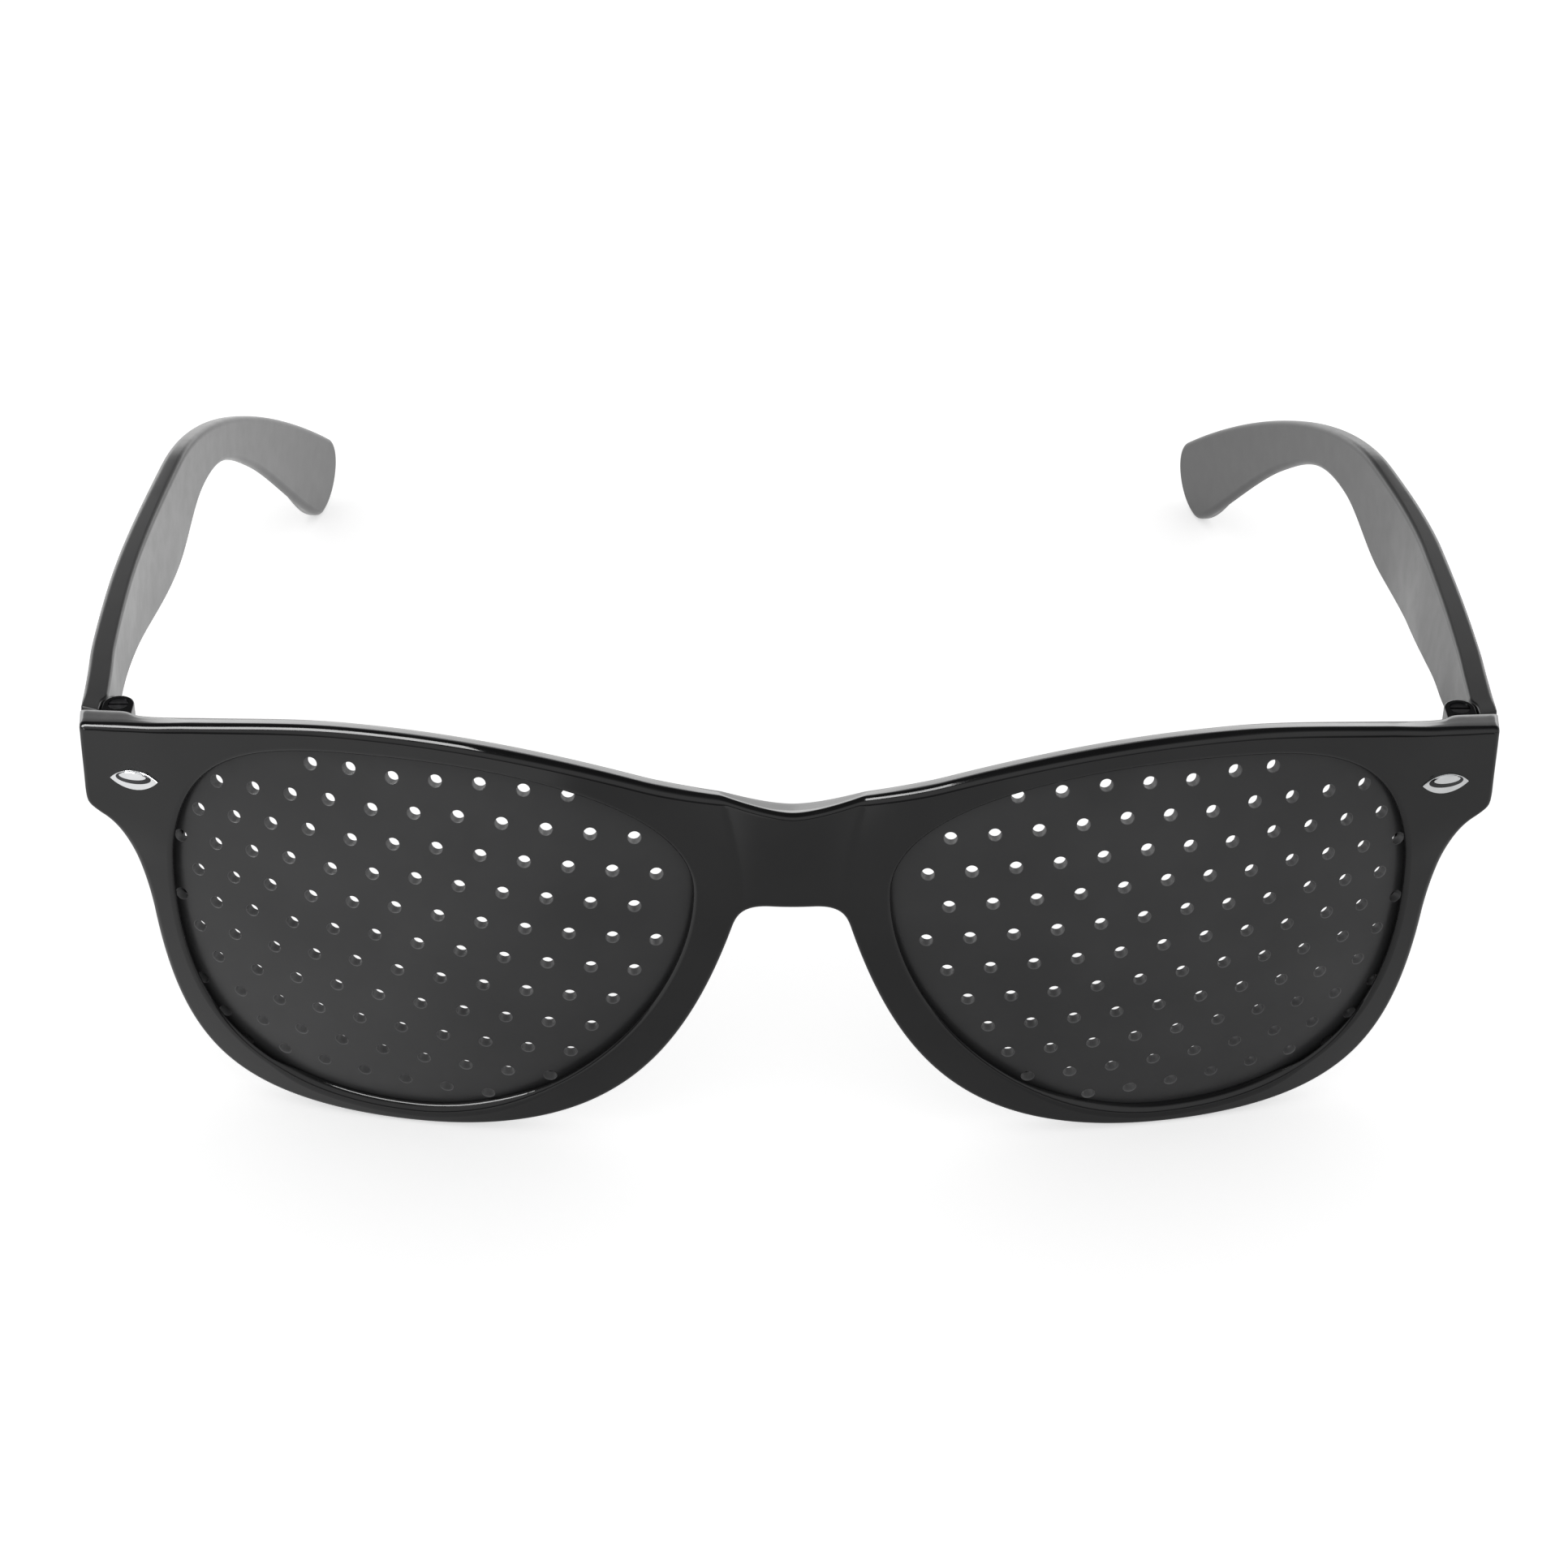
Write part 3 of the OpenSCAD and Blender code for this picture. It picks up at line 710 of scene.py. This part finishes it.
def temple_mesh(shell, s, curl, turn, bulge, twist):
    """Temple arm with its hinge lug; see ARM_SHAPES for the last four."""
    def outer_x(y):
        d = y - BUTT_Y
        swell = (bulge * smooth_step(d / 16.0)
                 * (1 - 0.6 * smooth_step((y - BUTT_Y - 30) / 30.0)))
        bow = BOW * ((BOW_Y - y) / (BOW_Y - BUTT_Y)) ** 2
        back = curl * np.maximum((y - BOW_Y) / (TIP_Y - BOW_Y), 0) ** turn
        flush = 0.42 * (1 - smooth_step(d / 12.0))
        return HALF_W - 0.1 + flush + swell + BOW - np.where(y < BOW_Y, bow, back)

    def inner_x(y):
        thinner = 0.5 * (y - TEMPLE_Y) / (TIP_Y - TEMPLE_Y)
        x = outer_x(y) - (TEMPLE_T - thinner)
        # Hollow for the hinge lugs.
        d = np.clip(y - AXIS_Y, 0, HOLLOW_R)
        hollow = AXIS_X + np.sqrt(np.maximum(HOLLOW_R**2 - d * d, 0))
        return np.where(y < AXIS_Y + HOLLOW_R, np.maximum(x, hollow), x)

    def mitred(q):
        """Moves the front end parallel to the end piece, a gap behind it."""
        end = end_plane(q[:, 0], q[:, 2], END_T + TEMPLE_GAP)
        w = 1 - smooth_step((q[:, 1] - TEMPLE_Y) / 4.0)
        y = q[:, 1] - BUTT_Y
        # The lower edge leans along the first half of the arm.
        lean = smooth_step((y - 6) / 12.0) * (1 - smooth_step((y - 30) / 25.0))
        q[:, 0] -= twist * lean * np.clip(TEMPLE_TOP - q[:, 2], 0, 10)
        q[:, 1] += (end - TEMPLE_Y) * w
        q[:, 0] *= s
        return q

    side = temple_outline()
    out = normals(side)
    y = side[:, 0:1]
    # Edges get rounder towards the tip and sharp at the front end.
    soft = smooth_step((y - AXIS_Y - 6) / 70)
    sharp = 1 - smooth_step((y - TEMPLE_Y) / 5)
    r_out = 0.55 + 0.45 * soft - 0.37 * sharp
    r_in = 0.4 + 0.35 * soft - 0.22 * sharp
    # Below the hook the edge slants up to the outer side.
    under = 1.3 * smooth_step((y - TIP_Y + 72) / 14) * smooth_step((TIP_Y - 9 - y) / 12)
    under = under * smooth_step((0.2 - out[:, 1:2]) / 0.5)
    loops = []
    for a in quarter():
        inset, drop = rounding(r_out, a)
        p = side - out * (inset + under)
        loops.append(np.stack([outer_x(p[:, 0]) - drop[:, 0], p[:, 0], p[:, 1]], 1))
    for a in quarter()[::-1]:
        inset, drop = rounding(r_in, a)
        p = side - out * inset
        loops.append(np.stack([inner_x(p[:, 0]) + drop[:, 0], p[:, 0], p[:, 1]], 1))
    plain = [l[:, 1:3].copy() for l in loops]
    ids = [shell.add(mitred(l)) for l in loops]
    shell.bands(ids, flip=(s < 0))
    for k, x_of in ((0, outer_x), (-1, inner_x)):
        points = grid((TEMPLE_Y, -DATUM), (TIP_Y, TEMPLE_TOP + 1), TEMPLE_GRID)
        if k:      # finer points by the hollow
            fine = grid((TEMPLE_Y, 9), (AXIS_Y + 2.5, 21), HOLLOW_GRID)
            points = np.vstack([points[points[:, 0] > AXIS_Y + 2.6], fine])
        extra, tri = filled(plain[k], [], points)
        y, z = extra.T
        e = shell.add(mitred(np.stack([x_of(y), y, z], 1)))
        number = np.concatenate([ids[k], e])
        shell.tris(number[tri], flip=((k == 0) != (s < 0)))
    post(shell, on_side(s, lug_plan(False)), LUG_MID, LUG_MID + LUG_H, 0.15)


# -------------------------------------------------------------- materials
def material(name):
    m = bpy.data.materials.new(name)
    m.use_nodes = True
    nt = m.node_tree
    return m, nt, nt.nodes["Principled BSDF"]


def noise(nt, scale, detail=3.0):
    n = nt.nodes.new("ShaderNodeTexNoise")
    n.inputs["Scale"].default_value = scale
    n.inputs["Detail"].default_value = detail
    tc = nt.nodes.new("ShaderNodeTexCoord")
    nt.links.new(tc.outputs["Object"], n.inputs["Vector"])
    return n.outputs["Fac"]


# The noise values between which a tone or roughness goes from a to b
NOISE_LO, NOISE_HI = 0.35, 0.65


def value_map(nt, source, lo, hi, a, b, kind="SMOOTHSTEP"):
    """Goes from a to b where the source goes from lo to hi."""
    r = nt.nodes.new("ShaderNodeMapRange")
    r.interpolation_type = kind
    ends = {"From Min": lo, "From Max": hi, "To Min": a, "To Max": b}
    for name, value in ends.items():
        r.inputs[name].default_value = value
    nt.links.new(source, r.inputs["Value"])
    return r.outputs["Result"]


def tone(nt, fac, a, b):
    r = nt.nodes.new("ShaderNodeValToRGB")
    ends = r.color_ramp.elements
    ends[0].position, ends[1].position = NOISE_LO, NOISE_HI
    ends[0].color, ends[1].color = (*a, 1), (*b, 1)
    nt.links.new(fac, r.inputs["Fac"])
    return r.outputs["Color"]


def bumped(nt, b, heights):
    """Adds (height, strength, distance) bumps one after another."""
    last = None
    for h, strength, distance in heights:
        n = nt.nodes.new("ShaderNodeBump")
        n.inputs["Strength"].default_value = strength
        n.inputs["Distance"].default_value = distance
        nt.links.new(h, n.inputs["Height"])
        if last is not None:
            nt.links.new(last, n.inputs["Normal"])
        last = n.outputs["Normal"]
    nt.links.new(last, b.inputs["Normal"])


def roughened(nt, b, fac, lo, hi):
    rough = value_map(nt, fac, NOISE_LO, NOISE_HI, lo, hi, "LINEAR")
    nt.links.new(rough, b.inputs["Roughness"])


def plastic(name, dark, light, rough_lo, rough_hi, waviness=0.05):
    m, nt, b = material(name)
    nt.links.new(tone(nt, noise(nt, 90), dark, light), b.inputs["Base Color"])
    roughened(nt, b, noise(nt, 420, 4), rough_lo, rough_hi)
    b.inputs["IOR"].default_value = 1.5
    bumped(nt, b, [(noise(nt, 160, 1), waviness, 0.0002),
                   (noise(nt, 3500, 2), 0.02, 0.00002)])
    return m


def metal(name, colour, rough_lo, rough_hi):
    m, nt, b = material(name)
    dark = tuple(0.92 * c for c in colour)
    nt.links.new(tone(nt, noise(nt, 700), dark, colour), b.inputs["Base Color"])
    b.inputs["Metallic"].default_value = 1.0
    roughened(nt, b, noise(nt, 2500, 3), rough_lo, rough_hi)
    bumped(nt, b, [(noise(nt, 1500, 2), 0.01, 0.00002)])
    return m


# Pinhole walls: a lighter copy of the plate's plastic, painted light on the walls of
# the holes.
hole_wall_lit = plastic(
    "hole_wall_lit", (0.10, 0.10, 0.102), (0.15, 0.15, 0.152), 0.45, 0.55)
gloss_black = plastic(
    "gloss_black", (0.0065, 0.0065, 0.007), (0.010, 0.010, 0.0105), 0.07, 0.12)
temple_black = plastic(
    "temple_black", (0.009, 0.009, 0.0095), (0.013, 0.013, 0.0135), 0.29, 0.32, 0.012)
plate_black = plastic(
    "plate_black", (0.028, 0.028, 0.029), (0.036, 0.036, 0.037), 0.30, 0.38, 0.03)
bright_metal = metal("bright_metal", (0.86, 0.87, 0.88), 0.06, 0.14)
# Darkened metal on the boss's lower flank: painted shade below the raised boss.
painted_shade_metal = metal("painted_shade_metal", (0.06, 0.06, 0.063), 0.25, 0.35)
screw_metal = metal("screw_metal", (0.085, 0.085, 0.09), 0.28, 0.38)

# ----------------------------------------------------------------- pieces
front = Shell()
front_mesh(front)
for s, _ in SIDES:
    front_lugs(front, s)
front_piece = front.object("front_shell", gloss_black)
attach(front_piece, "front")
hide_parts("front_frame")

for s, word in SIDES:
    arm = Shell()
    temple_mesh(arm, s, *ARM_SHAPES[word])
    piece = arm.object(word + "_temple_arm_shell", temple_black)
    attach(piece, word + "_temple_arm")
    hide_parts(word + "_temple")

for s, word in SIDES:
    plate = Shell()
    walls = plate_mesh(plate, s)
    piece = plate.object(word + "_lens_plate", plate_black, 40, hole_wall_lit, walls)
    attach(piece, "front")
    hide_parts(word + "_lens")
    head = Shell()
    flank = rivet_mesh(head, s)
    piece = head.object(word + "_rivet_head", bright_metal, 20, painted_shade_metal, flank)
    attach(piece, "front")
    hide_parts(word + "_rivet")

for _, word in SIDES:
    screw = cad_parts[word + "_hinge_screw"]
    screw.data.materials.clear()
    screw.data.materials.append(screw_metal)


# --------------------------------------------------------------- surroundings
def maths(nt, kind, a, b):
    """Math node of two values, each a number or the output of a node."""
    m = nt.nodes.new("ShaderNodeMath")
    m.operation = kind
    for k, v in enumerate((a, b)):
        if isinstance(v, (int, float)):
            m.inputs[k].default_value = v
        else:
            nt.links.new(v, m.inputs[k])
    return m.outputs[0]


def place_of(nt, kind):
    """x, y and z of a kind of texture coordinate."""
    tc = nt.nodes.new("ShaderNodeTexCoord")
    split = nt.nodes.new("ShaderNodeSeparateXYZ")
    nt.links.new(tc.outputs[kind], split.inputs[0])
    return split.outputs["X"], split.outputs["Y"], split.outputs["Z"]


def mirrored_or_through(nt, path):
    """1 on rays that come from a reflection or through glass."""
    return maths(nt, "MAXIMUM", path.outputs["Is Glossy Ray"],
                 path.outputs["Is Transmission Ray"])


def mixed(nt, share, first, second):
    mix = nt.nodes.new("ShaderNodeMixShader")
    nt.links.new(share, mix.inputs[0])
    nt.links.new(first, mix.inputs[1])
    nt.links.new(second, mix.inputs[2])
    return mix.outputs[0]


def world_light():
    """Even soft light, very pale grey to the camera past the floor's edge.

    Reflections show a pale sweep behind the object, bright near the floor and
    dim higher up, and on the camera's side a pale room that is dark near the
    floor and overhead."""
    w = bpy.data.worlds.new("studio")
    bpy.context.scene.world = w
    w.use_nodes = True
    nt = w.node_tree
    nt.nodes.clear()
    out = nt.nodes.new("ShaderNodeOutputWorld")
    path = nt.nodes.new("ShaderNodeLightPath")
    _, y, z = place_of(nt, "Generated")
    sweep = value_map(nt, z, 0.16, 0.50, 1.0, 0.05)
    room = maths(nt, "MINIMUM", value_map(nt, z, 0.08, 0.30, 0.10, 0.95),
                 value_map(nt, z, 0.70, 0.95, 1.0, 0.08))
    behind = value_map(nt, y, -0.25, 0.25, 0.0, 1.0)
    in_front = maths(nt, "SUBTRACT", 1.0, behind)
    reflection = maths(nt, "ADD", maths(nt, "MULTIPLY", sweep, behind),
                       maths(nt, "MULTIPLY", room, in_front))
    light, mirror, backdrop = (
        nt.nodes.new("ShaderNodeBackground") for _ in range(3))
    light.inputs["Strength"].default_value = 0.85
    nt.links.new(reflection, mirror.inputs["Strength"])
    backdrop.inputs["Strength"].default_value = 1.0
    lit = mixed(nt, mirrored_or_through(nt, path), light.outputs[0], mirror.outputs[0])
    seen = mixed(nt, path.outputs["Is Camera Ray"], lit, backdrop.outputs[0])
    nt.links.new(seen, out.inputs["Surface"])


def floor():
    """Pale floor: white to the camera, with the object's shadow kept."""
    half, drop = 2.5, 0.00005
    camera_glow = 0.56                 # brings the lit floor up to white
    me = bpy.data.meshes.new("floor")
    corners = [(-half, -half, 0), (half, -half, 0), (half, half, 0), (-half, half, 0)]
    me.from_pydata(corners, [], [(0, 1, 2, 3)])
    o = bpy.data.objects.new("floor", me)
    o.location.z = -drop
    bpy.context.scene.collection.objects.link(o)
    m = bpy.data.materials.new("floor_white")
    m.use_nodes = True
    nt = m.node_tree
    nt.nodes.clear()
    out = nt.nodes.new("ShaderNodeOutputMaterial")
    path = nt.nodes.new("ShaderNodeLightPath")
    card = nt.nodes.new("ShaderNodeBsdfDiffuse")
    card.inputs["Color"].default_value = (0.8, 0.8, 0.8, 1)
    glow = nt.nodes.new("ShaderNodeEmission")
    # Painted reflection: mirrored in the object, the floor glows brightest behind it
    # and to the viewer's left, and dim in front of the middle; this glow shows only in
    # reflections.
    x, y, _ = place_of(nt, "Object")
    rear = maths(nt, "MULTIPLY", value_map(nt, y, -0.03, 0.06, 0.0, 1.0),
                 value_map(nt, x, -0.05, 0.03, 0.95, 0.60))
    side = maths(nt, "ADD", value_map(nt, x, -0.050, -0.020, 0.35, 0.0),
                 value_map(nt, x, 0.020, 0.050, 0.0, 0.08))
    ahead = value_map(nt, y, -0.07, -0.03, 1.0, 0.0)
    reflection = maths(nt, "MULTIPLY", mirrored_or_through(nt, path),
                       maths(nt, "ADD", rear, maths(nt, "MULTIPLY", side, ahead)))
    seen = maths(nt, "MULTIPLY", path.outputs["Is Camera Ray"], camera_glow)
    nt.links.new(maths(nt, "ADD", seen, reflection), glow.inputs["Strength"])
    add = nt.nodes.new("ShaderNodeAddShader")
    nt.links.new(card.outputs[0], add.inputs[0])
    nt.links.new(glow.outputs[0], add.inputs[1])
    nt.links.new(add.outputs[0], out.inputs["Surface"])
    me.materials.append(m)


def softbox(name, at, target, size, radiance):
    """Area lamp that shows as bright as radiance, where a white card is 1."""
    lamp = bpy.data.lights.new(name, "AREA")
    lamp.shape = "RECTANGLE"
    lamp.size, lamp.size_y = size
    lamp.energy = radiance * math.pi * size[0] * size[1]
    o = bpy.data.objects.new(name, lamp)
    o.location = at
    o.rotation_euler = (Vector(target) - Vector(at)).to_track_quat("-Z", "Y").to_euler()
    o.visible_camera = False
    bpy.context.scene.collection.objects.link(o)
    return o


def camera():
    """Camera at the photograph's angle, fitted to the grid of pinholes."""
    cam = bpy.data.cameras.new("camera")
    cam.lens, cam.sensor_width, cam.sensor_fit = 76.02, 36.0, "HORIZONTAL"
    cam.clip_start, cam.clip_end = 0.01, 20
    o = bpy.data.objects.new("camera", cam)
    eye = Vector((-5.959, -343.05, 229.63)) * 0.001
    target = Vector((-0.991, -71.937, 46.733)) * 0.001
    roll = math.radians(0.74)
    back = (eye - target).normalized()
    right = Vector((-back.y, back.x, 0)).normalized()
    up = back.cross(right)
    r = math.cos(roll) * right + math.sin(roll) * up
    u = -math.sin(roll) * right + math.cos(roll) * up
    o.matrix_world = Matrix(((r.x, u.x, back.x, eye.x), (r.y, u.y, back.y, eye.y),
                             (r.z, u.z, back.z, eye.z), (0, 0, 0, 1)))
    bpy.context.scene.collection.objects.link(o)
    bpy.context.scene.camera = o


world_light()
floor()
# A long card over the wearer's right half, only mirrored, not lighting the scene.
strip = softbox(
    "strip", (-0.15, -0.074, 0.148), (-0.15, -0.074, 0), (0.24, 0.056), 12.0)
strip.visible_diffuse = False
softbox("behind", (0, 1.7, 0.17), (0, 0, 0.03), (3.4, 0.36), 1.7)
camera()
bpy.context.scene.view_settings.view_transform = "Standard"
